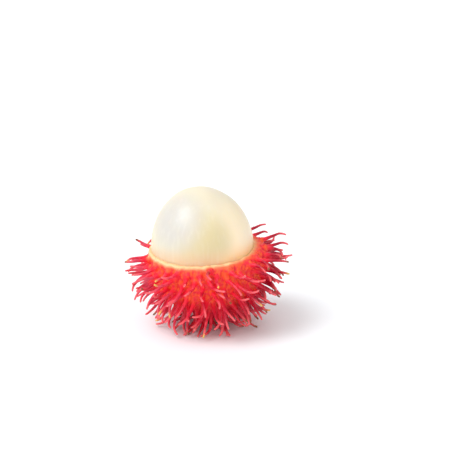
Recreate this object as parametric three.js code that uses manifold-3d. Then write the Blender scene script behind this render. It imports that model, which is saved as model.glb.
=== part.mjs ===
// A half-peeled rambutan: the egg of flesh stands in the lower half of its peel, and soft spines grow all over
// the peel.
// Millimetres, +Z up. The fruit stands on the flat end of its stalk's stub and on its bent lower spines.
// The origin is the middle of the stub's flat end, on the surface that the fruit stands on.
import * as THREE from "three";
import { mergeVertices } from "three/addons/utils/BufferGeometryUtils.js";
import Module from "manifold-3d";

const wasm = await Module();
wasm.setup();

// The flesh, an egg whose length lies along the fruit's axis. Its upper end sways to -X, and all of it sits
// a little to -X of the peel's middle.
const FLESH_RADIUS = 16.5;
const FLESH_HALF_LENGTH = 19.2;
const FLESH_SWAY = 0.3;
const FLESH_ASIDE = 1.05;

// The peel, a cup round the lower half of the flesh, cut open with a knife.
const FIT_GAP = 0.15;
const PEEL_THICKNESS = 1.95;
const STALK_END_THICKNESS = 3.05;
const RIM_BELOW_MIDDLE = 0.7;

// The cut edge bends in over a short height, and waves a little: each wave has a count round the axis, a height
// and a start.
const LIP_ACROSS = 0.6;
const LIP_DOWN = 1.8;
const RIM_WAVES = [
  { count: 1, height: 0.42, start: -1.57 },
  { count: 2, height: 0.15, start: 0.7 },
  { count: 5, height: 0.12, start: 2.1 },
];
const RIM_WAVE_REACH = 5;

// How the fruit stands: the stub of its stalk is flat below and flares up into the peel, and the axis leans a
// little to -X and to -Y.
const STUB_HEIGHT = 4.4;
const STUB_RADIUS = 2.3;
const STUB_FLARE = 1.6;
const LEAN_LEFT = THREE.MathUtils.degToRad(4);
const LEAN_FRONT = THREE.MathUtils.degToRad(3);

// Where the spines grow. They are spread evenly from under the rim to near the stalk, and every fourth place
// of the row has none.
const SPINE_PLACES = 240;
const EMPTY_EVERY = 4;
const EMPTY_PLACE = 1;
const ROOTS_BELOW_RIM = 1.1;
const ROOTS_OFF_AXIS = 4.6;
const ROOT_JITTER = 0.9;
const ROOT_SINK = 1.4;

// How long and how thick they are. Those in a band under the rim are shorter. A three-sided spine is made
// wider than a round one, so that it looks as thick.
const SPINE_LENGTH = 9.4;
const SPINE_LENGTH_SPREAD = 3.2;
const RIM_SPINE_SHORTER = 0.12;
const RIM_SPINE_BAND = 0.3;
const ROOT_RADIUS = 0.74;
const ROOT_SPREAD = 0.4;
const TIP_RADIUS = 0.33;
const TAPER_POWER = 1.2;
const THREE_SIDED = 1.2;

// How they bend, in radians. They are lifted under the rim and droop near the stalk. The rows comb them to one
// side and the other, and each hooks its own way towards the tip.
const LIFT_AT_RIM = 0.12;
const DROOP_BELOW = 0.32;
const PITCH_SPREAD = 0.5;
const YAW_SPREAD = 0.6;
const HOOK_UP_SPREAD = 2.0;
const HOOK_SIDE = 0.6;
const HOOK_SIDE_SPREAD = 2.0;
const WIGGLE = 0.3;
const COMB_TURNS = 3;
const COMB_HEIGHT = 5;
const LANDING = 3.2;
const ROUTE_STEPS = 10;

// How finely the solids are faceted, and the sizes of the two solids that only cut.
const ROUND_SIDES = 40;
const FLESH_RINGS = 24;
const CUP_RINGS = 10;
const LIP_RINGS = 2;
const SPINE_SIDES = 3;
const SPINE_RINGS = 5;
const STUB_SIDES = 16;
const HOLLOW_TOP = 5;
const CUT_BOX = 200;

const UP = new THREE.Vector3(0, 0, 1);
const GOLDEN_ANGLE = Math.PI * (3 - Math.sqrt(5));
const INNER_RADIUS = FLESH_RADIUS + FIT_GAP;
const INNER_HALF_LENGTH = FLESH_HALF_LENGTH + FIT_GAP;
const OUTER_RADIUS = INNER_RADIUS + PEEL_THICKNESS;
const OUTER_HALF_LENGTH = INNER_HALF_LENGTH + STALK_END_THICKNESS;
const RIM = -RIM_BELOW_MIDDLE;

// The fruit's own frame has its middle at the origin and its axis along +Z. This matrix stands it on the surface.
const axis = new THREE.Vector3(-Math.tan(LEAN_LEFT), -Math.tan(LEAN_FRONT), 1).normalize();
const lean = new THREE.Quaternion().setFromUnitVectors(UP, axis);
const middle = axis.clone().multiplyScalar(STUB_HEIGHT + OUTER_HALF_LENGTH);
const stand = new THREE.Matrix4().compose(middle, lean, new THREE.Vector3(1, 1, 1));

// A repeatable draw between 0 and 1 for spine i; each use has its own kind. The three numbers only scatter it.
function draw(i, kind) {
  const scattered = Math.sin(i * 12.9898 + kind * 78.233) * 43758.5453;
  return scattered - Math.floor(scattered);
}

function solidOf(geometry) {
  const bare = geometry.clone();
  bare.deleteAttribute("normal");
  bare.deleteAttribute("uv");
  const merged = mergeVertices(bare, 1e-4);
  return new wasm.Manifold(
    new wasm.Mesh({
      numProp: 3,
      vertProperties: merged.attributes.position.array,
      triVerts: new Uint32Array(merged.index.array),
    }),
  );
}

function geometryOf(solid) {
  const mesh = solid.getMesh();
  const geometry = new THREE.BufferGeometry()
    .setAttribute("position", new THREE.BufferAttribute(mesh.vertProperties, 3))
    .setIndex(new THREE.BufferAttribute(mesh.triVerts, 1))
    .toNonIndexed();
  geometry.computeVertexNormals();
  return geometry;
}

// Moves each vertex of a geometry by a function that changes its point in place.
function reshape(geometry, move) {
  const position = geometry.attributes.position;
  const point = new THREE.Vector3();
  for (let i = 0; i < position.count; i++) {
    point.fromBufferAttribute(position, i);
    move(point);
    position.setXYZ(i, point.x, point.y, point.z);
  }
  return geometry;
}

function flesh() {
  const egg = new THREE.SphereGeometry(1, ROUND_SIDES, FLESH_RINGS);
  egg.rotateX(Math.PI / 2);
  reshape(egg, (p) => {
    const sway = p.z > 0 ? FLESH_SWAY * p.z * p.z : 0;
    p.set(p.x * FLESH_RADIUS - sway - FLESH_ASIDE, p.y * FLESH_RADIUS, p.z * FLESH_HALF_LENGTH);
  });
  return egg.applyMatrix4(stand);
}

// An arc of an ellipse from the pole below up to a height, as points (radius, height).
function cupArc(radius, halfLength, end) {
  const last = Math.acos(-end / halfLength);
  const points = [];
  for (let i = 0; i <= CUP_RINGS; i++) {
    const turn = (last * i) / CUP_RINGS;
    points.push(new THREE.Vector2(radius * Math.sin(turn), -halfLength * Math.cos(turn)));
  }
  points[0].x = 0;
  return points;
}

// The cut edge, bending in from the end of the outer arc up to the rim.
function lip(start) {
  const points = [];
  for (let i = 1; i <= LIP_RINGS; i++) {
    const turn = ((Math.PI / 2) * i) / LIP_RINGS;
    const across = start.x - LIP_ACROSS * (1 - Math.cos(turn));
    points.push(new THREE.Vector2(across, RIM - LIP_DOWN * (1 - Math.sin(turn))));
  }
  return points;
}

// The height of the cut edge above the rim's plane, at an angle round the axis.
function rimWave(angle) {
  return RIM_WAVES.reduce((sum, { count, height, start }) => sum + height * Math.sin(count * angle + start), 0);
}

// A solid of revolution about the fruit's axis, from a profile that starts and ends on it.
function turned(profile) {
  return new THREE.LatheGeometry(profile, ROUND_SIDES).rotateX(Math.PI / 2);
}

// The peel's lower half, still full inside, with the waved cut across its top.
function bowl() {
  const outer = cupArc(OUTER_RADIUS, OUTER_HALF_LENGTH, RIM - LIP_DOWN);
  const profile = [...outer, ...lip(outer[CUP_RINGS]), new THREE.Vector2(0, RIM)];
  const full = reshape(turned(profile), (p) => {
    const nearRim = THREE.MathUtils.smoothstep(p.z, RIM - RIM_WAVE_REACH, RIM);
    const offAxis = Math.min(1, Math.hypot(p.x, p.y));
    p.z += nearRim * offAxis * rimWave(Math.atan2(p.y, p.x));
  });
  return full.applyMatrix4(stand);
}

// The hollow that the flesh sits in, open above the cut.
function hollow() {
  const inner = cupArc(INNER_RADIUS, INNER_HALF_LENGTH, 0);
  const above = [new THREE.Vector2(INNER_RADIUS, HOLLOW_TOP), new THREE.Vector2(0, HOLLOW_TOP)];
  return turned([...inner, ...above]).translate(-FLESH_ASIDE, 0, 0).applyMatrix4(stand);
}

// The stub of the stalk, from under the surface up into the peel's thick lower end.
function stub() {
  const top = STUB_HEIGHT + STALK_END_THICKNESS / 2;
  const cone = new THREE.CylinderGeometry(STUB_RADIUS + STUB_FLARE, STUB_RADIUS, 2 * top, STUB_SIDES);
  return cone.rotateX(Math.PI / 2);
}

// Where spine i grows: the point of the peel's outer surface, the direction straight out of it, its share of
// the way down, and how far its row combs it to one side.
function rootOf(i) {
  const top = RIM - ROOTS_BELOW_RIM;
  const bottom = -OUTER_HALF_LENGTH * Math.sqrt(1 - (ROOTS_OFF_AXIS / OUTER_RADIUS) ** 2);
  const share = (i + 0.5) / SPINE_PLACES;
  const height = Math.min(top, top + (bottom - top) * share + ROOT_JITTER * (draw(i, 1) - 0.5));
  const radius = OUTER_RADIUS * Math.sqrt(1 - (height / OUTER_HALF_LENGTH) ** 2);
  const angle = i * GOLDEN_ANGLE + (ROOT_JITTER / radius) * (draw(i, 2) - 0.5) * 2;
  const point = new THREE.Vector3(radius * Math.cos(angle), radius * Math.sin(angle), height);
  const normal = new THREE.Vector3(
    point.x / OUTER_RADIUS ** 2,
    point.y / OUTER_RADIUS ** 2,
    point.z / OUTER_HALF_LENGTH ** 2,
  ).normalize();
  const comb = Math.sin(COMB_TURNS * angle + height / COMB_HEIGHT);
  return { point: point.applyMatrix4(stand), normal: normal.applyQuaternion(lean), share, comb };
}

function spineRadius(t) {
  return TIP_RADIUS + (ROOT_RADIUS - TIP_RADIUS) * (1 - t) ** TAPER_POWER;
}

// The line that spine i grows along, with a first point buried in the peel. It leaves nearly straight out,
// hooks towards its tip, and lands softly on the surface, where it runs on level.
function spineRoute(i) {
  const { point, normal, share, comb } = rootOf(i);
  const side = new THREE.Vector3().crossVectors(UP, normal).normalize();
  const shorter = 1 - RIM_SPINE_SHORTER * Math.max(0, 1 - share / RIM_SPINE_BAND);
  const length = shorter * (SPINE_LENGTH + SPINE_LENGTH_SPREAD * (draw(i, 3) - 0.5));
  const hookSide = HOOK_SIDE * comb + HOOK_SIDE_SPREAD * (draw(i, 4) - 0.5);
  const hookUp = HOOK_UP_SPREAD * (draw(i, 5) - 0.5);
  const yaw = YAW_SPREAD * (draw(i, 6) - 0.5);
  const lift = LIFT_AT_RIM - (LIFT_AT_RIM + DROOP_BELOW) * share;
  const pitch = PITCH_SPREAD * (draw(i, 7) - 0.5) + lift;
  const direction = normal.clone().addScaledVector(side, yaw).addScaledVector(UP, pitch).normalize();
  const route = [point.clone().addScaledVector(normal, -ROOT_SINK)];
  const at = point.clone();
  for (let k = 1; k <= ROUTE_STEPS; k++) {
    const t = k / ROUTE_STEPS;
    const hooked = 3 * t * t;
    const wiggle = WIGGLE * Math.sin(2 * Math.PI * (t + draw(i, 9)));
    direction.addScaledVector(side, (hookSide * hooked + wiggle) / ROUTE_STEPS);
    direction.addScaledVector(UP, (hookUp * hooked) / ROUTE_STEPS).normalize();
    land(direction, at.z - spineRadius(t));
    at.addScaledVector(direction, length / ROUTE_STEPS);
    route.push(at.clone());
  }
  return route;
}

// Turns a direction up so that it goes down no more steeply than the height left above the surface allows.
function land(direction, height) {
  const steepest = -Math.max(0, height) / LANDING;
  if (direction.z >= steepest) return;
  const level = Math.hypot(direction.x, direction.y);
  const stretch = Math.sqrt(1 - steepest * steepest) / level;
  direction.set(direction.x * stretch, direction.y * stretch, steepest);
}

// Two directions across the tube at each of its points, turned as little as they can be from one to the next.
function tubeFrames(points) {
  const last = points.length - 1;
  const frames = [];
  let across = UP;
  points.forEach((_, k) => {
    const from = points[Math.max(0, k - 1)];
    const to = points[Math.min(last, k + 1)];
    const forward = new THREE.Vector3().subVectors(to, from).normalize();
    if (k === 0) across = new THREE.Vector3().crossVectors(forward, UP);
    across = across.clone().addScaledVector(forward, -across.dot(forward)).normalize();
    frames.push({ across, other: new THREE.Vector3().crossVectors(forward, across) });
  });
  return frames;
}

// A closed tapered tube along a spine's route.
function spine(i) {
  const points = spineRoute(i).filter((_, k) => k % (ROUTE_STEPS / SPINE_RINGS) === 0);
  const frames = tubeFrames(points);
  const tube = new THREE.CylinderGeometry(1, 1, 1, SPINE_SIDES, SPINE_RINGS);
  return reshape(tube, (p) => {
    const k = Math.round((p.y + 0.5) * SPINE_RINGS);
    const spread = k === 0 ? ROOT_SPREAD : 0;
    const radius = THREE_SIDED * spineRadius(k / SPINE_RINGS) + spread;
    const { x, z } = p;
    p.copy(points[k]);
    p.addScaledVector(frames[k].across, z * radius).addScaledVector(frames[k].other, x * radius);
  });
}

// The bowl, the stub and the spines grown together, then hollowed and cut off at the surface.
function peel() {
  let solid = solidOf(bowl()).add(solidOf(stub()));
  for (let i = 0; i < SPINE_PLACES; i++) {
    if (i % EMPTY_EVERY !== EMPTY_PLACE) solid = solid.add(solidOf(spine(i)));
  }
  const below = new THREE.BoxGeometry(CUT_BOX, CUT_BOX, CUT_BOX).translate(0, 0, -CUT_BOX / 2);
  return geometryOf(solid.subtract(solidOf(hollow())).subtract(solidOf(below)));
}

const fruit = new THREE.Group();

const peelMesh = new THREE.Mesh(
  peel(),
  new THREE.MeshStandardMaterial({ color: 0xd8323c, roughness: 0.5, metalness: 0 }),
);
peelMesh.name = "peel";
fruit.add(peelMesh);

const fleshMesh = new THREE.Mesh(
  flesh(),
  new THREE.MeshStandardMaterial({ color: 0xf2ecd2, roughness: 0.3, metalness: 0 }),
);
fleshMesh.name = "flesh";
fruit.add(fleshMesh);

export default fruit;
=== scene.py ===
# A half-peeled rambutan on a pale table. Metres, +Z up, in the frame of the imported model.
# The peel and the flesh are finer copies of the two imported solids, and repeat the solids' sizes and rules.
import math

import bmesh
import bpy
import numpy as np
from mathutils import Matrix, Vector, kdtree, noise


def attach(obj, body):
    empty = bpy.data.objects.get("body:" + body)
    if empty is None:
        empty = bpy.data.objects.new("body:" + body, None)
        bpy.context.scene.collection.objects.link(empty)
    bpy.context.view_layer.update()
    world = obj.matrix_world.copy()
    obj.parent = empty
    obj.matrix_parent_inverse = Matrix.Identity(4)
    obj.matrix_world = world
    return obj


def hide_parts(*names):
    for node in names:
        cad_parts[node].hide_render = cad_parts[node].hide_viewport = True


MM = 0.001

# ---------------------------------------------------------------- sizes shared with the solids

# The flesh, an egg whose length lies along the fruit's axis. Its upper end sways to -X, and all of it sits
# a little to -X of the peel's middle.
FLESH_RADIUS = 16.5 * MM
FLESH_HALF_LENGTH = 19.2 * MM
FLESH_SWAY = 0.3 * MM
FLESH_ASIDE = 1.05 * MM

# The peel, a cup round the lower half of the flesh, thicker at the stalk's end and cut open with a knife.
FIT_GAP = 0.15 * MM
PEEL_THICKNESS = 1.95 * MM
STALK_END_THICKNESS = 3.05 * MM
RIM_BELOW_MIDDLE = 0.7 * MM

# The cut edge bends in over a short height, and waves a little: each wave has a count round the axis,
# a height and a start.
LIP_ACROSS = 0.6 * MM
LIP_DOWN = 1.8 * MM
RIM_WAVES = ((1, 0.42 * MM, -1.57), (2, 0.15 * MM, 0.7), (5, 0.12 * MM, 2.1))
RIM_WAVE_REACH = 5 * MM

# How the fruit stands: the stub of its stalk is flat below and flares up into the peel, and the axis leans
# a little to -X and to -Y.
STUB_HEIGHT = 4.4 * MM
STUB_RADIUS = 2.3 * MM
STUB_FLARE = 1.6 * MM
LEAN_LEFT = math.radians(4)
LEAN_FRONT = math.radians(3)

# Where the spines grow. They are spread evenly from under the rim to near the stalk, and jittered more round
# the fruit than along it. The solids leave every fourth one out.
SPINES = 240
ROOTS_BELOW_RIM = 1.1 * MM
ROOTS_OFF_AXIS = 4.6 * MM
ROOT_JITTER = 0.9 * MM
JITTER_MORE_ROUND = 2
ROOT_SINK = 1.4 * MM

# How long and how thick they are. Those in a band under the rim are shorter.
SPINE_LENGTH = 9.4 * MM
SPINE_LENGTH_SPREAD = 3.2 * MM
RIM_SPINE_SHORTER = 0.12
RIM_SPINE_BAND = 0.3
ROOT_RADIUS = 0.74 * MM
TIP_RADIUS = 0.33 * MM
TAPER_POWER = 1.2

# How they bend, mostly as pushes up or to the side on a direction of length 1. They are lifted under the rim
# and droop near the stalk. The rows comb them to one side and the other, and each hooks its own way towards
# the tip. Close above the table they level out.
LIFT_AT_RIM = 0.12
DROOP_BELOW = 0.32
PITCH_SPREAD = 0.5
YAW_SPREAD = 0.6
HOOK_UP_SPREAD = 2.0
HOOK_SIDE = 0.6
HOOK_SIDE_SPREAD = 2.0
WIGGLE = 0.3
COMB_TURNS = 3
COMB_HEIGHT = 5 * MM
LANDING = 3.2 * MM
ROUTE_STEPS = 10

# The kinds of draw that make each spine its own. The solids have no use for the colour's and the tip's.
ROOT_HEIGHT_DRAW = 1
ROOT_TURN_DRAW = 2
LENGTH_DRAW = 3
HOOK_SIDE_DRAW = 4
HOOK_UP_DRAW = 5
YAW_DRAW = 6
PITCH_DRAW = 7
COLOUR_DRAW = 8
WIGGLE_DRAW = 9
TIP_TURN_DRAW = 10

# ---------------------------------------------------------------- finer shapes, which only the scene has

# The last share of a spine bends once more, each spine its own way and the lower ones less.
TIP_SHARE = 0.3
TIP_BEND = 1.0
TIP_BEND_UP = 0.7
TIP_DROOP = 0.3

# A spine is round, flares softly out of the skin and has a round tip. Its tip's rings are given as shares of
# a quarter turn.
SPINE_SIDES = 12
STEP_PARTS = 3
FLARE = 0.8 * MM
FLARE_LENGTH = 0.8 * MM
TIP_RINGS = (0.0, 0.5, 0.85)

# The cup and the stub before they are grown together. The cup's inner face lies a little inside the flesh, so
# that no gap shows, and the stub starts below the table, so that its end comes out flat.
CUP_SIDES = 240
CUP_RINGS = 90
LIP_STEPS = 7
CUT_FACE_STEPS = 8
INNER_LIP_ROUND = 0.15 * MM
SNUG = -0.4 * MM
RAGGED_WAVES = ((17, 0.07 * MM, 0.3), (29, 0.07 * MM, 1.9), (43, 0.05 * MM, 4.0))
STUB_SIDES = 64
STUB_RINGS = 12
STUB_BELOW_TABLE = 0.5 * MM
STUB_FLARE_POWER = 1.5

# The cup's and the flesh's rings start this far off the poles, in radians.
OFF_POLE = 0.004

# How the peel's parts are grown together. The skin is smoothed more than what stands higher above it.
VOXEL = 0.21 * MM
SMOOTHINGS = 7
SKIN_SMOOTHING = 0.5
SPINE_SMOOTHED_LESS = 0.42
SMOOTHED_LESS_HEIGHTS = (0.6 * MM, 3 * MM)
PEEL_TRIANGLES = 190000

# The skin's small soft lumps fade in at the skin and out again along the spines.
LUMP_SIZE = (0.8 * MM, 0.8 * MM, 1.6 * MM)
LUMP_HEIGHT = 0.4 * MM
LUMPS_BEGIN = (-0.3 * MM, 0.05 * MM)
LUMPS_END = (0.8 * MM, 2.4 * MM)

# The flesh is a little smaller than the solid's, so that it stays inside the solid's box. It dips here and
# there, by half of the depth where the noise is at its middle.
FLESH_TRIM = 0.04 * MM
FLESH_SIDES = 200
FLESH_RINGS = 120
DIP_SIZE = (6 * MM, 6 * MM, 11 * MM)
DIP_DEPTH = 0.2 * MM
DIPS_MIDDLE = 0.5

UP = Vector((0, 0, 1))
FULL_TURN = 2 * math.pi
GOLDEN_ANGLE = math.pi * (3 - math.sqrt(5))
NEARLY_NOTHING = 1e-6
RIM = -RIM_BELOW_MIDDLE
INNER_RADIUS = FLESH_RADIUS + FIT_GAP
INNER_HALF_LENGTH = FLESH_HALF_LENGTH + FIT_GAP
OUTER_RADIUS = INNER_RADIUS + PEEL_THICKNESS
OUTER_HALF_LENGTH = INNER_HALF_LENGTH + STALK_END_THICKNESS

# The fruit's own frame has its middle at the origin and its axis along +Z. STAND puts it on the table.
AXIS = Vector((-math.tan(LEAN_LEFT), -math.tan(LEAN_FRONT), 1)).normalized()
LEAN = UP.rotation_difference(AXIS).to_matrix()
MIDDLE = AXIS * (STUB_HEIGHT + OUTER_HALF_LENGTH)
STAND = Matrix.Translation(MIDDLE) @ LEAN.to_4x4()


# ---------------------------------------------------------------- helpers


def smoothstep(x, low, high):
    t = np.clip((x - low) / (high - low), 0, 1)
    return t * t * (3 - 2 * t)


def draw(i, kind):
    """A repeatable draw between 0 and 1 for spine i. The three numbers only scatter it."""
    x = math.sin(i * 12.9898 + kind * 78.233) * 43758.5453
    return x - math.floor(x)


def spread_draw(i, kind):
    """The same draw, between -0.5 and 0.5."""
    return draw(i, kind) - 0.5


def noise_at(points, size):
    """Smooth noise between -1 and 1 at each point. Its features have about the given size, or the given sizes
    along X, Y and Z."""
    return np.array([noise.noise(Vector(point)) for point in points / np.array(size)])


def stood(points):
    """Points of the fruit's own frame, moved to where the fruit stands."""
    turn = np.array(LEAN)
    return points @ turn.T + np.array(MIDDLE)


def unstood(points):
    """Points of the standing fruit, moved back to the fruit's own frame."""
    turn = np.array(LEAN)
    return (points - np.array(MIDDLE)) @ turn


def distance_outside(own, radius, half_length):
    """How far points of the fruit's own frame are outside an egg round its middle."""
    share = np.linalg.norm(own / np.array([radius, radius, half_length]), axis=1)
    return np.linalg.norm(own, axis=1) * (1 - 1 / np.maximum(share, NEARLY_NOTHING))


def height_above_skin(points):
    """How far points of the standing fruit are outside the cup's outer surface."""
    return distance_outside(unstood(points), OUTER_RADIUS, OUTER_HALF_LENGTH)


def angles_round(sides):
    """The angles of the points of one ring."""
    return np.linspace(0, FULL_TURN, sides, endpoint=False)


def turned(radii, heights, sides):
    """Rings of points round the Z axis, one for each radius and height, as their x, y and z."""
    angle = angles_round(sides)
    x = radii[:, None] * np.cos(angle)
    y = radii[:, None] * np.sin(angle)
    z = np.repeat(heights[:, None], sides, 1)
    return x, y, z


def as_points(x, y, z):
    return np.stack([x, y, z], 2).reshape(-1, 3)


def tube_faces(rings, sides):
    """Quads between neighbouring rings of points, each ring closed on itself, and a face over each end."""
    faces = []
    for r in range(rings - 1):
        for s in range(sides):
            a = r * sides + s
            b = r * sides + (s + 1) % sides
            faces.append((a, b, b + sides, a + sides))
    faces.append(tuple(reversed(range(sides))))
    faces.append(tuple(range((rings - 1) * sides, rings * sides)))
    return faces


def joined(parts):
    """Several lists of points with their faces, as one."""
    points = []
    faces = []
    for part_points, part_faces in parts:
        start = sum(len(p) for p in points)
        points.append(part_points)
        faces += [tuple(v + start for v in face) for face in part_faces]
    return np.concatenate(points), faces


def mesh_object(name, points, faces):
    mesh = bpy.data.meshes.new(name)
    mesh.from_pydata(points.tolist(), [], faces)
    mesh.update()
    made = bpy.data.objects.new(name, mesh)
    bpy.context.scene.collection.objects.link(made)
    return made


def apply_modifier(target, kind, **settings):
    bpy.context.view_layer.objects.active = target
    modifier = target.modifiers.new(kind.title(), kind)
    for name, value in settings.items():
        setattr(modifier, name, value)
    bpy.ops.object.modifier_apply(modifier=modifier.name)


def coordinates(mesh):
    co = np.zeros(len(mesh.vertices) * 3)
    mesh.vertices.foreach_get("co", co)
    return co.reshape(-1, 3)


def move_to(mesh, co):
    mesh.vertices.foreach_set("co", co.ravel())
    mesh.update()


def shade_smooth(mesh):
    mesh.polygons.foreach_set("use_smooth", np.ones(len(mesh.polygons), bool))


def store(mesh, name, values):
    """Keeps a number for each vertex, which the material reads by its name."""
    numbers = mesh.attributes.new(name, "FLOAT", "POINT")
    numbers.data.foreach_set("value", np.asarray(values, np.float32).ravel())


# ---------------------------------------------------------------- the cup and the stub


def rim_wave(angle):
    """How high the cut edge is above the rim's plane, at an angle round the axis."""
    waves = RIM_WAVES + RAGGED_WAVES
    return sum(height * np.sin(count * angle + start) for count, height, start in waves)


def rim_height(angle):
    """The cut edge's height above the fruit's middle, at an angle round the axis."""
    return RIM + rim_wave(angle)


def cup_arc(radius, half_length, end):
    """An arc of an ellipse from near the pole below to a height under the rim, as (radius, height)."""
    last = math.acos(-end / half_length)
    turn = np.linspace(OFF_POLE, last, CUP_RINGS)
    return np.stack([radius * np.sin(turn), -half_length * np.cos(turn)], 1)


def rounded(end, across, down):
    """A quarter of an ellipse from a radius below the rim up to the rim's plane, as (radius, height). The
    first point is left out, because the arc below ends on it."""
    turn = np.linspace(0, math.pi / 2, LIP_STEPS)[1:]
    return np.stack([end + across * (1 - np.cos(turn)), RIM - down * (1 - np.sin(turn))], 1)


def lip(outer_end, inner_end):
    """The rounded cut edge, as (radius, height) from the outer arc's end to the inner arc's end."""
    outside = rounded(outer_end, -LIP_ACROSS, LIP_DOWN)
    inside = rounded(inner_end, INNER_LIP_ROUND, INNER_LIP_ROUND)
    cut_face = np.linspace(outside[-1], inside[-1], CUT_FACE_STEPS)[1:-1]
    return np.concatenate([outside, cut_face, inside[::-1]])


def cup():
    """The cup's profile from its outer pole over the lip to its inner pole, turned round the axis. The inner
    face is moved aside with the flesh."""
    outer = cup_arc(OUTER_RADIUS, OUTER_HALF_LENGTH, RIM - LIP_DOWN)
    inner = cup_arc(FLESH_RADIUS + SNUG, FLESH_HALF_LENGTH + SNUG, RIM - INNER_LIP_ROUND)
    profile = np.concatenate([outer, lip(outer[-1, 0], inner[-1, 0]), inner[::-1]])
    over_the_lip = np.linspace(0, 1, len(profile) - 2 * CUP_RINGS)
    inward = np.concatenate([np.zeros(CUP_RINGS), over_the_lip, np.ones(CUP_RINGS)])
    x, y, z = turned(profile[:, 0], profile[:, 1], CUP_SIDES)
    x -= FLESH_ASIDE * inward[:, None]
    z += smoothstep(z, RIM - RIM_WAVE_REACH, RIM) * rim_wave(angles_round(CUP_SIDES))
    return stood(as_points(x, y, z)), tube_faces(len(profile), CUP_SIDES)


def stalk_stub():
    """The upright stub of the stalk, from just below the table to inside the peel."""
    top = STUB_HEIGHT + STALK_END_THICKNESS / 2
    heights = np.linspace(-STUB_BELOW_TABLE, top, STUB_RINGS)
    radii = STUB_RADIUS + STUB_FLARE * np.clip(heights / top, 0, 1) ** STUB_FLARE_POWER
    return as_points(*turned(radii, heights, STUB_SIDES)), tube_faces(STUB_RINGS, STUB_SIDES)


# ---------------------------------------------------------------- the spines


def root_of(i):
    """Where spine i grows: the point of the peel's outer surface, the direction straight out of it, its share
    of the way down, and how far its row combs it to one side."""
    top = RIM - ROOTS_BELOW_RIM
    bottom = -OUTER_HALF_LENGTH * math.sqrt(1 - (ROOTS_OFF_AXIS / OUTER_RADIUS) ** 2)
    share = (i + 0.5) / SPINES
    height = min(top, top + (bottom - top) * share + ROOT_JITTER * spread_draw(i, ROOT_HEIGHT_DRAW))
    radius = OUTER_RADIUS * math.sqrt(1 - (height / OUTER_HALF_LENGTH) ** 2)
    jitter = (ROOT_JITTER / radius) * spread_draw(i, ROOT_TURN_DRAW) * JITTER_MORE_ROUND
    angle = i * GOLDEN_ANGLE + jitter
    point = Vector((radius * math.cos(angle), radius * math.sin(angle), height))
    x, y, z = point
    normal = Vector((x / OUTER_RADIUS**2, y / OUTER_RADIUS**2, z / OUTER_HALF_LENGTH**2))
    comb = math.sin(COMB_TURNS * math.atan2(y, x) + height / COMB_HEIGHT)
    return STAND @ point, (LEAN @ normal).normalized(), share, comb


def spine_radius(t):
    """The radius at a share of the way from root to tip."""
    return TIP_RADIUS + (ROOT_RADIUS - TIP_RADIUS) * (1 - t) ** TAPER_POWER


def landing(direction, height):
    """The direction, turned up if it goes down more steeply than the height left above the table allows."""
    steepest = -max(0, height) / LANDING
    if direction.z >= steepest:
        return direction
    level = math.hypot(direction.x, direction.y)
    stretch = math.sqrt(1 - steepest * steepest) / level
    return Vector((direction.x * stretch, direction.y * stretch, steepest))


def first_direction(i, normal, side, share):
    """The way that spine i leaves the skin: nearly straight out, lifted under the rim and drooping below."""
    yaw = YAW_SPREAD * spread_draw(i, YAW_DRAW)
    lift = LIFT_AT_RIM - (LIFT_AT_RIM + DROOP_BELOW) * share
    pitch = PITCH_SPREAD * spread_draw(i, PITCH_DRAW) + lift
    return (normal + side * yaw + UP * pitch).normalized()


def tip_push(i, side, share):
    """The push that bends the last share of spine i."""
    turn = FULL_TURN * draw(i, TIP_TURN_DRAW)
    push = side * math.cos(turn) + UP * (TIP_BEND_UP * math.sin(turn) - TIP_DROOP)
    return push * (TIP_BEND * (1 - share))


def spine_route(i):
    """The line that spine i grows along: out, hooking towards its tip, and landing softly."""
    point, normal, share, comb = root_of(i)
    side = UP.cross(normal).normalized()
    shorter = 1 - RIM_SPINE_SHORTER * max(0, 1 - share / RIM_SPINE_BAND)
    length = shorter * (SPINE_LENGTH + SPINE_LENGTH_SPREAD * spread_draw(i, LENGTH_DRAW))
    step = length / ROUTE_STEPS
    hook_side = HOOK_SIDE * comb + HOOK_SIDE_SPREAD * spread_draw(i, HOOK_SIDE_DRAW)
    hook_up = HOOK_UP_SPREAD * spread_draw(i, HOOK_UP_DRAW)
    direction = first_direction(i, normal, side, share)
    tip_bend = tip_push(i, side, share)
    route = [point - normal * ROOT_SINK, point]
    at = point.copy()
    # The hooks grow with the square of t. Over the whole route, 3 t^2 adds up to about 1.
    for k in range(1, ROUTE_STEPS + 1):
        t = k / ROUTE_STEPS
        wiggle = WIGGLE * math.sin(FULL_TURN * (t + draw(i, WIGGLE_DRAW)))
        direction += side * ((hook_side * 3 * t * t + wiggle) / ROUTE_STEPS)
        direction += UP * (hook_up * 3 * t * t / ROUTE_STEPS)
        if t > 1 - TIP_SHARE:
            direction += tip_bend / (TIP_SHARE * ROUTE_STEPS)
        direction.normalize()
        direction = landing(direction, at.z - spine_radius(t))
        at = at + direction * step
        route.append(at.copy())
    return np.array(route)


def catmull_rom(a, b, c, d, u):
    """The point at a share u of the way from b to c, on a smooth curve through a, b, c and d."""
    first = (c - a) * u
    second = (2 * a - 5 * b + 4 * c - d) * u**2
    third = (3 * b - a - 3 * c + d) * u**3
    return 0.5 * (2 * b + first + second + third)


def smooth_route(route):
    """More points on the same line, and each one's share of the way from root to tip."""
    shares = np.concatenate([[0], np.linspace(0, 1, ROUTE_STEPS + 1)])
    padded = np.concatenate([[2 * route[0] - route[1]], route, [2 * route[-1] - route[-2]]])
    points = []
    t_values = []
    for k in range(len(route) - 1):
        for part in range(STEP_PARTS):
            u = part / STEP_PARTS
            points.append(catmull_rom(*padded[k : k + 4], u))
            t_values.append(shares[k] + (shares[k + 1] - shares[k]) * u)
    points.append(route[-1])
    t_values.append(1.0)
    return np.array(points), np.array(t_values)


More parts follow.
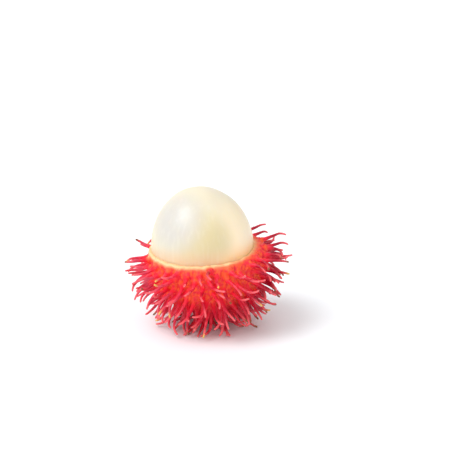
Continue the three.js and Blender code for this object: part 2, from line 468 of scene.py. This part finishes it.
def ring(centre, radius, across, other):
    """A circle of points round a centre, in the plane of two directions."""
    angle = angles_round(SPINE_SIDES)[:, None]
    return centre + radius * (np.cos(angle) * across + np.sin(angle) * other)


def spine(points, t_values):
    """A closed tapered tube with a round tip along a smooth route."""
    along = np.linalg.norm(points - points[STEP_PARTS], axis=1)
    radii = spine_radius(t_values) + FLARE * np.exp(-along / FLARE_LENGTH)
    forward = np.gradient(points, axis=0)
    forward /= np.linalg.norm(forward, axis=1)[:, None]
    across = np.cross(forward[0], UP)
    rings = []
    for at, ahead, radius in zip(points, forward, radii):
        across = across - ahead * (across @ ahead)
        across /= np.linalg.norm(across)
        other = np.cross(ahead, across)
        rings.append(ring(at, radius, across, other))
    rings.pop()
    for share in TIP_RINGS:
        turn = share * math.pi / 2
        centre = points[-1] + forward[-1] * radii[-1] * (math.sin(turn) - 1)
        rings.append(ring(centre, radii[-1] * math.cos(turn), across, other))
    return np.concatenate(rings), tube_faces(len(rings), SPINE_SIDES)


# ---------------------------------------------------------------- the peel


def smooth(mesh, weights, times):
    """Moves each vertex towards the mean of its neighbours, by its own weight, the given number of times."""
    edges = np.zeros(len(mesh.edges) * 2, int)
    mesh.edges.foreach_get("vertices", edges)
    a, b = edges.reshape(-1, 2).T
    count = len(mesh.vertices)
    neighbours = np.bincount(a, minlength=count) + np.bincount(b, minlength=count)
    co = coordinates(mesh)
    for _ in range(times):
        sums = [np.bincount(a, co[b, k], count) + np.bincount(b, co[a, k], count) for k in range(3)]
        co += weights[:, None] * (np.stack(sums, 1) / neighbours[:, None] - co)
    move_to(mesh, co)


def lumps(mesh, co):
    """Small soft lumps of the skin between the spines, as a move of each vertex."""
    normals = np.zeros(len(co) * 3)
    mesh.vertices.foreach_get("normal", normals)
    out = height_above_skin(co)
    on_skin = smoothstep(out, *LUMPS_BEGIN) * (1 - smoothstep(out, *LUMPS_END))
    return normals.reshape(-1, 3) * (LUMP_HEIGHT * on_skin * noise_at(co, LUMP_SIZE))[:, None]


def drop_crumbs(mesh):
    """Keeps a mesh's largest body alone: remeshing and thinning leave a few tiny loose faces."""
    edited = bmesh.new()
    edited.from_mesh(mesh)
    unseen = set(edited.verts)
    bodies = []
    while unseen:
        body = set()
        reached = [unseen.pop()]
        while reached:
            vertex = reached.pop()
            body.add(vertex)
            neighbours = {edge.other_vert(vertex) for edge in vertex.link_edges} & unseen
            unseen -= neighbours
            reached += neighbours
        bodies.append(body)
    largest = max(bodies, key=len)
    crumbs = [vertex for vertex in edited.verts if vertex not in largest]
    bmesh.ops.delete(edited, geom=crumbs, context="VERTS")
    edited.to_mesh(mesh)
    edited.free()


def build_peel():
    """The cup, the stub and the spines, grown together into one body and flattened at the table."""
    routes = [smooth_route(spine_route(i)) for i in range(SPINES)]
    parts = [cup(), stalk_stub()]
    parts += [spine(points, t_values) for points, t_values in routes]
    peel = mesh_object("rambutan_peel", *joined(parts))
    apply_modifier(peel, "REMESH", mode="VOXEL", voxel_size=VOXEL, adaptivity=0)
    out = height_above_skin(coordinates(peel.data))
    weights = SKIN_SMOOTHING - SPINE_SMOOTHED_LESS * smoothstep(out, *SMOOTHED_LESS_HEIGHTS)
    smooth(peel.data, weights, SMOOTHINGS)
    co = coordinates(peel.data)
    co += lumps(peel.data, co)
    co[:, 2] = np.maximum(co[:, 2], 0)
    move_to(peel.data, co)
    share = PEEL_TRIANGLES / (2 * len(peel.data.vertices))
    apply_modifier(peel, "DECIMATE", ratio=min(1, share))
    drop_crumbs(peel.data)
    shade_smooth(peel.data)
    describe_peel(peel.data, routes)
    return peel


# ---------------------------------------------------------------- what the peel's material needs

# Each pair of lengths or numbers is the two ends of a soft step.
ON_SPINE_HEIGHTS = (0.25 * MM, 1.4 * MM)
# Shade is painted between the lower spines: from these depths below the rim, and up to these heights above
# the skin.
PAINTED_SHADE_BELOW_RIM = (10 * MM, 20 * MM)
PAINTED_SHADE_HEIGHTS = (0.5 * MM, 5 * MM)
HOLLOW_BELOW_RIM = (0.5 * MM, 1.5 * MM)
HOLLOW_FROM_FLESH = (0.2 * MM, 0.6 * MM)
BARK_FROM_STALK = (0.3 * MM, 0.9 * MM)
BARK_HEIGHTS = (1 * MM, 3.4 * MM)

# The cream of the cut face. It is narrower to +X, where the cut face is wide, and reaches lower to -X.
CREAM_WIDTH = 1.4 * MM
CREAM_NARROWER = 0.8 * MM
WIDE_SIDE = (0.3, 1.0)
CREAM_LOWER = 0.6 * MM
LOW_SIDE = (0.2, 1.0)
CREAM_RAGGED = 0.35 * MM
CREAM_RAGGED_SIZE = 1.1 * MM


def nearest_on_spines(co, routes):
    """For each vertex, the nearest point on any spine: its share of the way to the tip, and which spine."""
    tree = kdtree.KDTree(sum(len(points) for points, _ in routes))
    shares = []
    owners = []
    for i, (points, t_values) in enumerate(routes):
        for point, t in zip(points, t_values):
            tree.insert(point, len(shares))
            shares.append(t)
            owners.append(i)
    tree.balance()
    nearest = [tree.find(point)[1] for point in co]
    return np.array(shares)[nearest], np.array(owners)[nearest]


def past_cream(co, own, angle, below):
    """How far past the cream of the cut face each vertex is, in millimetres, and 0 in the hollow."""
    from_flesh = distance_outside(own + np.array([FLESH_ASIDE, 0, 0]), FLESH_RADIUS, FLESH_HALF_LENGTH)
    cream = CREAM_WIDTH - CREAM_NARROWER * smoothstep(np.cos(angle), *WIDE_SIDE)
    lower = CREAM_LOWER * smoothstep(-np.cos(angle), *LOW_SIDE)
    ragged = CREAM_RAGGED * noise_at(co, CREAM_RAGGED_SIZE)
    past = np.maximum(from_flesh - cream, below - lower) + ragged
    in_the_hollow = smoothstep(below, *HOLLOW_BELOW_RIM) * (1 - smoothstep(from_flesh, *HOLLOW_FROM_FLESH))
    return past / MM * (1 - in_the_hollow)


def describe_peel(mesh, routes):
    """Stores where each vertex is: along and on a spine, low between the spines where shade is painted, near
    the cut, or on the stalk.
    """
    co = coordinates(mesh)
    own = unstood(co)
    out = height_above_skin(co)
    angle = np.arctan2(own[:, 1], own[:, 0])
    below = rim_height(angle) - own[:, 2]
    t, spine_of = nearest_on_spines(co, routes)
    on_spine = smoothstep(out, *ON_SPINE_HEIGHTS)
    store(mesh, "on_spine", on_spine)
    store(mesh, "spine_share", t * on_spine)
    store(mesh, "spine_draw", np.array([draw(i, COLOUR_DRAW) for i in range(SPINES)])[spine_of])
    store(mesh, "to_the_right", own[:, 0] / OUTER_RADIUS)
    # Painted shade, low down and close to the skin between the spines.
    store(mesh, "painted_shade_between_spines", smoothstep(below, *PAINTED_SHADE_BELOW_RIM) * (1 - smoothstep(out, *PAINTED_SHADE_HEIGHTS)))
    store(mesh, "past_cream", past_cream(co, own, angle, below))
    from_stalk = np.hypot(co[:, 0], co[:, 1]) - STUB_RADIUS
    near_stalk = 1 - smoothstep(from_stalk, *BARK_FROM_STALK)
    store(mesh, "stalk", near_stalk * (1 - smoothstep(co[:, 2], *BARK_HEIGHTS)))


# ---------------------------------------------------------------- the flesh

# Where the seed shows through the flesh, darkened partly as painted shade, where light is painted on the
# right side, and where a highlight is painted, as directions from the fruit's middle.
SEED_AND_SHADE_SIDE = np.array(Vector((-0.03, -1.0, 0.37)).normalized())
PAINTED_LIGHT_SIDE = np.array(Vector((1.0, -0.3, 0.1)).normalized())
PAINTED_HIGHLIGHT_SIDE = np.array(Vector((-0.53, -0.54, 0.66)).normalized())

# Each pair is the two ends of a soft step, as heights above the rim or as cosines from a side.
NEAR_RIM = (-1 * MM, 6 * MM)
NEAR_TOP = (6 * MM, 18 * MM)
SEED_AND_SHADE = (0.72, 1.0)
PAINTED_LIGHT_RIGHT = (0.3, 1.0)
PAINTED_HIGHLIGHT = (0.72, 1.02)


def build_flesh():
    """The egg of flesh, which sways, dips and stands in the peel."""
    turn = np.linspace(OFF_POLE, math.pi - OFF_POLE, FLESH_RINGS)
    x, y, z = turned(np.sin(turn), -np.cos(turn), FLESH_SIDES)
    radius = FLESH_RADIUS - FLESH_TRIM
    half_length = FLESH_HALF_LENGTH - FLESH_TRIM
    sway = np.where(z > 0, FLESH_SWAY * z**2, 0)
    points = as_points(x * radius - sway - FLESH_ASIDE, y * radius, z * half_length)
    outward = points / np.linalg.norm(points, axis=1)[:, None]
    points -= outward * (DIP_DEPTH * np.clip(noise_at(points, DIP_SIZE) + DIPS_MIDDLE, 0, 1))[:, None]
    flesh = mesh_object("rambutan_flesh", stood(points), tube_faces(FLESH_RINGS, FLESH_SIDES))
    shade_smooth(flesh.data)
    above = points[:, 2] - RIM
    # Warm light reflected from the peel, painted near the rim.
    store(flesh.data, "near_rim", 1 - smoothstep(above, *NEAR_RIM))
    # Light from above painted on the top of the flesh.
    store(flesh.data, "near_top", smoothstep(above, *NEAR_TOP))
    # Where the seed shows through, darker and olive, partly painted shade.
    store(flesh.data, "seed_and_painted_shade", smoothstep(outward @ SEED_AND_SHADE_SIDE, *SEED_AND_SHADE))
    # Light painted on the right side of the flesh.
    store(flesh.data, "painted_light_right", smoothstep(outward @ PAINTED_LIGHT_SIDE, *PAINTED_LIGHT_RIGHT))
    # A painted highlight, pale and bluish, at the upper left.
    store(flesh.data, "painted_highlight", smoothstep(outward @ PAINTED_HIGHLIGHT_SIDE, *PAINTED_HIGHLIGHT))
    return flesh


# ---------------------------------------------------------------- nodes for the materials


def material(name):
    made = bpy.data.materials.new(name)
    made.use_nodes = True
    return made, made.node_tree, made.node_tree.nodes["Principled BSDF"]


def attribute(tree, name):
    """What the mesh stores by that name."""
    node = tree.nodes.new("ShaderNodeAttribute")
    node.attribute_name = name
    return node.outputs["Fac"]


def ramp(tree, value, *stops):
    """A colour by a value, through stops of (position, colour)."""
    node = tree.nodes.new("ShaderNodeValToRGB")
    elements = node.color_ramp.elements
    for element, (position, colour) in zip(elements, (stops[0], stops[-1])):
        element.position = position
        element.color = (*colour, 1)
    for position, colour in stops[1:-1]:
        element = elements.new(position)
        element.color = (*colour, 1)
    tree.links.new(value, node.inputs["Fac"])
    return node.outputs["Color"]


def soft_step(tree, value, ends, results=(0.0, 1.0)):
    """A value that goes smoothly from one result to the other between two ends."""
    node = tree.nodes.new("ShaderNodeMapRange")
    node.interpolation_type = "SMOOTHSTEP"
    node.inputs["From Min"].default_value, node.inputs["From Max"].default_value = ends
    node.inputs["To Min"].default_value, node.inputs["To Max"].default_value = results
    tree.links.new(value, node.inputs["Value"])
    return node.outputs["Result"]


def mix(tree, factor, first, second):
    """A colour between two, each a colour or another node's output."""
    node = tree.nodes.new("ShaderNodeMix")
    node.data_type = "RGBA"
    tree.links.new(factor, node.inputs[0])
    for value, socket in zip((first, second), [s for s in node.inputs if s.type == "RGBA"]):
        if isinstance(value, tuple):
            socket.default_value = (*value, 1)
        else:
            tree.links.new(value, socket)
    return [s for s in node.outputs if s.type == "RGBA"][0]


def combined(tree, operation, first, second):
    """Two values combined by one of Blender's Math operations."""
    node = tree.nodes.new("ShaderNodeMath")
    node.operation = operation
    tree.links.new(first, node.inputs[0])
    tree.links.new(second, node.inputs[1])
    return node.outputs[0]


def noise_of(tree, size, detail=2.0, stretch=(1, 1, 1)):
    """Noise in the object's own coordinates, with features of about the given size."""
    place = tree.nodes.new("ShaderNodeTexCoord")
    scaled = tree.nodes.new("ShaderNodeMapping")
    scaled.inputs["Scale"].default_value = [1 / (size * part) for part in stretch]
    node = tree.nodes.new("ShaderNodeTexNoise")
    node.inputs["Scale"].default_value = 1
    node.inputs["Detail"].default_value = detail
    tree.links.new(place.outputs["Object"], scaled.inputs["Vector"])
    tree.links.new(scaled.outputs["Vector"], node.inputs["Vector"])
    return node.outputs["Fac"]


def bump(tree, shader, height, distance, strength=1.0):
    node = tree.nodes.new("ShaderNodeBump")
    node.inputs["Distance"].default_value = distance
    node.inputs["Strength"].default_value = strength
    tree.links.new(height, node.inputs["Height"])
    tree.links.new(node.outputs["Normal"], shader.inputs["Normal"])


# ---------------------------------------------------------------- the peel's material

# The skin: orange with crimson blotches, and streaks along its fibres. Here and below, a pair is the two ends
# of a soft step.
SKIN_ORANGE = (0.93, 0.115, 0.03)
SKIN_CRIMSON = (0.86, 0.028, 0.052)
SKIN_STREAK = (0.7, 0.008, 0.032)
BLOTCH_SIZE = 1.5 * MM
BLOTCH_DETAIL = 3.0
BLOTCHES = (0.4, 0.64)
FIBRE_SIZE = 0.8 * MM
FIBRE_STRETCH = (1, 1, 4)
FIBRE_HEIGHT = 0.12 * MM
STREAKS = (0.45, 0.72)
STREAKS_MOST = 0.75

# The spines from root to tip, with the share of the way over which each colour takes over.
SPINE_LOW = (0.86, 0.014, 0.045)
SPINE_MIDDLE = (0.63, 0.008, 0.038)
SPINE_TIP = (0.82, 0.13, 0.145)
TO_SPINE_LOW = (0.0, 0.22)
TO_SPINE_MIDDLE = (0.15, 0.5)
TO_SPINE_TIP = (0.55, 1.0)

# Their middle is paler in patches and darker on some spines, by their draw. Shade is painted on the spines to
# +X, darker, and light to -X, paler and pinker, by the share of the radius.
SPINE_PALE = (0.84, 0.055, 0.09)
PALE_SIZE = 2.5 * MM
PALE = (0.4, 0.62)
SPINE_DARK = (0.4, 0.003, 0.025)
DARK_DRAWS = (0.3, 0.5)
DARK_MOST = 0.6
# Shade painted on the spines to +X.
SPINE_SHADED_RIGHT = (0.4, 0.002, 0.024)
SHADED_RIGHT = (0.35, 1.1)
# Light painted on the spines to -X.
SPINE_LIT_LEFT = (0.66, 0.06, 0.12)
LIT_LEFT = (-0.25, -0.9)
LIT_LEFT_MOST = 0.6

# The tips of a few spines are yellow or brown, by their draw.
YELLOW_TIP = (0.72, 0.5, 0.13)
YELLOW_DRAWS = (0.9, 0.92)
BROWN_TIP = (0.24, 0.09, 0.03)
BROWN_DRAWS = (0.14, 0.12)
LAST_OF_TIP = (0.78, 0.97)

# The shade painted maroon between the lower spines, the bark of the stalk, and the cut face. It goes from
# cream at the flesh over peach to orange and then into the skin, by millimetres past the cream.
PAINTED_SHADE_MAROON = (0.6, 0.002, 0.026)
STALK_BROWN = (0.17, 0.1, 0.045)
STALK_PALE = (0.34, 0.24, 0.12)
CUT_CREAM = (0.92, 0.55, 0.29)
CUT_PEACH = (0.93, 0.42, 0.21)
CUT_ORANGE = (0.92, 0.19, 0.085)
PEACH_AT = 0.12
ORANGE_AT = 0.7
CUT_TO_SKIN = (0.4, 1.5)

# How rough the skin and the spines are, and where along a spine that changes.
SKIN_ROUGHNESS = 0.6
SPINE_ROUGHNESS = 0.26
SPINE_GETS_SMOOTH = (0.0, 0.4)


def spine_middle(tree, own):
    """The colour of the spines' middle, with shade painted to +X and light painted to -X."""
    pale = soft_step(tree, noise_of(tree, PALE_SIZE), PALE)
    dark = soft_step(tree, own, DARK_DRAWS, (DARK_MOST, 0.0))
    to_the_right = attribute(tree, "to_the_right")
    right_shade = soft_step(tree, to_the_right, SHADED_RIGHT)
    left_light = soft_step(tree, to_the_right, LIT_LEFT, (0.0, LIT_LEFT_MOST))
    colour = mix(tree, pale, SPINE_MIDDLE, SPINE_PALE)
    colour = mix(tree, dark, colour, SPINE_DARK)
    # Painted shade to +X and painted light to -X.
    colour = mix(tree, right_shade, colour, SPINE_SHADED_RIGHT)
    return mix(tree, left_light, colour, SPINE_LIT_LEFT)


def spines_over(tree, skin, along, own):
    """The colours of the spines, which grow out of the skin's."""
    colour = mix(tree, soft_step(tree, along, TO_SPINE_LOW), skin, SPINE_LOW)
    colour = mix(tree, soft_step(tree, along, TO_SPINE_MIDDLE), colour, spine_middle(tree, own))
    colour = mix(tree, soft_step(tree, along, TO_SPINE_TIP), colour, SPINE_TIP)
    tip = soft_step(tree, along, LAST_OF_TIP)
    yellow = combined(tree, "MULTIPLY", tip, soft_step(tree, own, YELLOW_DRAWS))
    brown = combined(tree, "MULTIPLY", tip, soft_step(tree, own, BROWN_DRAWS))
    colour = mix(tree, yellow, colour, YELLOW_TIP)
    return mix(tree, brown, colour, BROWN_TIP)


def peel_material():
    made, tree, shader = material("peel")
    along = attribute(tree, "spine_share")
    own = attribute(tree, "spine_draw")
    blotches = soft_step(tree, noise_of(tree, BLOTCH_SIZE, BLOTCH_DETAIL), BLOTCHES)
    fibres = noise_of(tree, FIBRE_SIZE, stretch=FIBRE_STRETCH)
    streaks = soft_step(tree, fibres, STREAKS, (0.0, STREAKS_MOST))
    skin = mix(tree, blotches, SKIN_ORANGE, SKIN_CRIMSON)
    skin = mix(tree, streaks, skin, SKIN_STREAK)
    colour = spines_over(tree, skin, along, own)
    # Shade painted maroon between the lower spines.
    colour = mix(tree, attribute(tree, "painted_shade_between_spines"), colour, PAINTED_SHADE_MAROON)
    past = attribute(tree, "past_cream")
    cut = ramp(tree, past, (0.0, CUT_CREAM), (PEACH_AT, CUT_PEACH), (ORANGE_AT, CUT_ORANGE))
    past_cut = soft_step(tree, past, CUT_TO_SKIN)
    red = combined(tree, "MAXIMUM", past_cut, attribute(tree, "on_spine"))
    colour = mix(tree, red, cut, colour)
    bark = mix(tree, streaks, STALK_BROWN, STALK_PALE)
    colour = mix(tree, attribute(tree, "stalk"), colour, bark)
    roughness = soft_step(tree, along, SPINE_GETS_SMOOTH, (SKIN_ROUGHNESS, SPINE_ROUGHNESS))
    tree.links.new(colour, shader.inputs["Base Color"])
    tree.links.new(roughness, shader.inputs["Roughness"])
    bump(tree, shader, fibres, FIBRE_HEIGHT)
    shader.inputs["Subsurface Weight"].default_value = 0.3
    shader.inputs["Subsurface Radius"].default_value = (1.0, 0.15, 0.1)
    shader.inputs["Subsurface Scale"].default_value = 0.6 * MM
    shader.inputs["Specular IOR Level"].default_value = 0.28
    return made


# ---------------------------------------------------------------- the flesh's material

# Light from above painted on the top.
FLESH_PAINTED_TOP_LIGHT = (0.74, 0.67, 0.51)
FLESH_MIDDLE = (0.7, 0.635, 0.425)
# Where the seed shows through, partly painted shade.
FLESH_SEED_AND_SHADE = (0.65, 0.55, 0.315)
# Warm light reflected from the peel, painted near the rim.
FLESH_PAINTED_PEEL_LIGHT = (0.71, 0.475, 0.285)
# The painted highlight.
FLESH_PAINTED_HIGHLIGHT = (0.582, 0.552, 0.508)
# Light painted on the right side.
FLESH_PAINTED_LIGHT = (0.95, 0.792, 0.565)
FLESH_VEIN = (0.8, 0.76, 0.66)
# A painted glow near the rim on the right side.
FLESH_PAINTED_GLOW = (0.95, 0.68, 0.34)

# Faint veins run along the flesh, and its surface is slightly uneven and moist.
VEIN_SIZE = 1.1 * MM
VEIN_DETAIL = 3.0
VEIN_STRETCH = (1, 1, 8)
VEINS = (0.45, 0.75)
VEINS_MOST = 0.13
UNEVEN_SIZE = 2 * MM
UNEVEN_DETAIL = 3.0
UNEVEN_STRETCH = (1, 1, 2)
UNEVEN_HEIGHT = 0.1 * MM
UNEVEN_STRENGTH = 0.35
ROUGHER_BY_VEINS = (0.3, 0.7)
FLESH_ROUGHNESS = (0.38, 0.44)


def flesh_material():
    made, tree, shader = material("flesh")
    painted_light_right = attribute(tree, "painted_light_right")
    veins = noise_of(tree, VEIN_SIZE, VEIN_DETAIL, VEIN_STRETCH)
    # Light from above painted towards the top.
    colour = mix(tree, attribute(tree, "near_top"), FLESH_MIDDLE, FLESH_PAINTED_TOP_LIGHT)
    # Light painted on the right side.
    colour = mix(tree, painted_light_right, colour, FLESH_PAINTED_LIGHT)
    # Darker and olive over the seed, partly painted shade.
    colour = mix(tree, attribute(tree, "seed_and_painted_shade"), colour, FLESH_SEED_AND_SHADE)
    # The painted highlight.
    colour = mix(tree, attribute(tree, "painted_highlight"), colour, FLESH_PAINTED_HIGHLIGHT)
    # Near the rim, painted light reflected from the peel, and a painted glow on the right side.
    low = mix(tree, painted_light_right, FLESH_PAINTED_PEEL_LIGHT, FLESH_PAINTED_GLOW)
    colour = mix(tree, attribute(tree, "near_rim"), colour, low)
    colour = mix(tree, soft_step(tree, veins, VEINS, (0.0, VEINS_MOST)), colour, FLESH_VEIN)
    uneven = noise_of(tree, UNEVEN_SIZE, UNEVEN_DETAIL, UNEVEN_STRETCH)
    roughness = soft_step(tree, veins, ROUGHER_BY_VEINS, FLESH_ROUGHNESS)
    tree.links.new(colour, shader.inputs["Base Color"])
    tree.links.new(roughness, shader.inputs["Roughness"])
    bump(tree, shader, uneven, UNEVEN_HEIGHT, UNEVEN_STRENGTH)
    shader.inputs["Subsurface Weight"].default_value = 0.5
    shader.inputs["Subsurface Radius"].default_value = (1.0, 0.7, 0.4)
    shader.inputs["Subsurface Scale"].default_value = 2.5 * MM
    shader.inputs["Coat Weight"].default_value = 0.25
    shader.inputs["Coat Roughness"].default_value = 0.36
    return made


# ---------------------------------------------------------------- the studio

# The camera looks down at the fruit as steeply as the photo does. PHOTO_PIXEL is how much of the fruit one
# pixel of the photo covers. The photo's size and the place of the fruit's middle in it are in pixels, and the
# sensor is in millimetres, as Blender has it.
CAMERA_AWAY = 0.6
CAMERA_UP = math.radians(17.5)
PHOTO_PIXEL = 0.32 * MM
PHOTO_WIDTH = 456
PHOTO_HEIGHT = 454
MIDDLE_ACROSS = 205.7
MIDDLE_DOWN = 244.8
SENSOR = 36

FLOOR_HALF = 3.0
FLOOR_COLOUR = (0.92, 0.95, 0.97, 1)
FLOOR_ROUGHNESS = 0.6
WHITE = (1, 1, 1)
FILL_STRENGTH = 0.63


def build_camera():
    camera = bpy.data.objects.new("camera", bpy.data.cameras.new("camera"))
    bpy.context.scene.collection.objects.link(camera)
    back = Vector((0, -math.cos(CAMERA_UP), math.sin(CAMERA_UP)))
    right = Vector((1, 0, 0))
    above = back.cross(right)
    across = (PHOTO_WIDTH / 2 - MIDDLE_ACROSS) * PHOTO_PIXEL
    down = (PHOTO_HEIGHT / 2 - MIDDLE_DOWN) * PHOTO_PIXEL
    aim = MIDDLE + right * across - above * down
    camera.location = aim + back * CAMERA_AWAY
    camera.rotation_euler = back.to_track_quat("Z", "Y").to_euler()
    camera.data.sensor_width = SENSOR
    camera.data.lens = SENSOR * CAMERA_AWAY / (PHOTO_WIDTH * PHOTO_PIXEL)
    bpy.context.scene.camera = camera


def build_floor():
    corners = [(-1, -1, 0), (1, -1, 0), (1, 1, 0), (-1, 1, 0)]
    floor = mesh_object("floor", np.array(corners) * FLOOR_HALF, [(0, 1, 2, 3)])
    made, _, shader = material("table")
    shader.inputs["Base Color"].default_value = FLOOR_COLOUR
    shader.inputs["Roughness"].default_value = FLOOR_ROUGHNESS
    floor.data.materials.append(made)


def sun(name, towards, strength, spread, colour=WHITE):
    """A wide soft light: which way it shines, how strongly, and over how many degrees it is spread."""
    light = bpy.data.objects.new(name, bpy.data.lights.new(name, "SUN"))
    bpy.context.scene.collection.objects.link(light)
    light.data.energy = strength
    light.data.angle = math.radians(spread)
    light.data.color = colour
    light.rotation_euler = (-Vector(towards)).to_track_quat("Z", "Y").to_euler()


def build_lights():
    sun("key", towards=(0.58, 0.26, -0.76), strength=2.05, spread=38, colour=(0.97, 0.985, 1.0))
    sun("front", towards=(0.0, 0.9, -0.35), strength=0.93, spread=80)
    sun("side", towards=(-0.9, 0.1, -0.3), strength=0.26, spread=80, colour=(1.0, 0.95, 0.9))
    sun("back", towards=(0.3, -0.9, -0.4), strength=0.4, spread=80)
    world = bpy.data.worlds.new("studio")
    bpy.context.scene.world = world
    world.use_nodes = True
    background = world.node_tree.nodes["Background"]
    background.inputs["Color"].default_value = (*WHITE, 1)
    background.inputs["Strength"].default_value = FILL_STRENGTH
    bpy.context.scene.view_settings.view_transform = "Standard"


# ---------------------------------------------------------------- the scene

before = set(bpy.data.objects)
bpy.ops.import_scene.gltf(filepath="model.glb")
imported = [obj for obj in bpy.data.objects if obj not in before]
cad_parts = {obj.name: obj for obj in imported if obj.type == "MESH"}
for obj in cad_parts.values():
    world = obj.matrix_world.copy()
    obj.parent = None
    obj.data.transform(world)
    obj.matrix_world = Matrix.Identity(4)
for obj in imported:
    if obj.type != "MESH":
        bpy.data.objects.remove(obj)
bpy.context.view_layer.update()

peel = build_peel()
peel.data.materials.append(peel_material())
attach(peel, "root")
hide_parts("peel")

flesh = build_flesh()
flesh.data.materials.append(flesh_material())
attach(flesh, "root")
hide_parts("flesh")

build_camera()
build_floor()
build_lights()
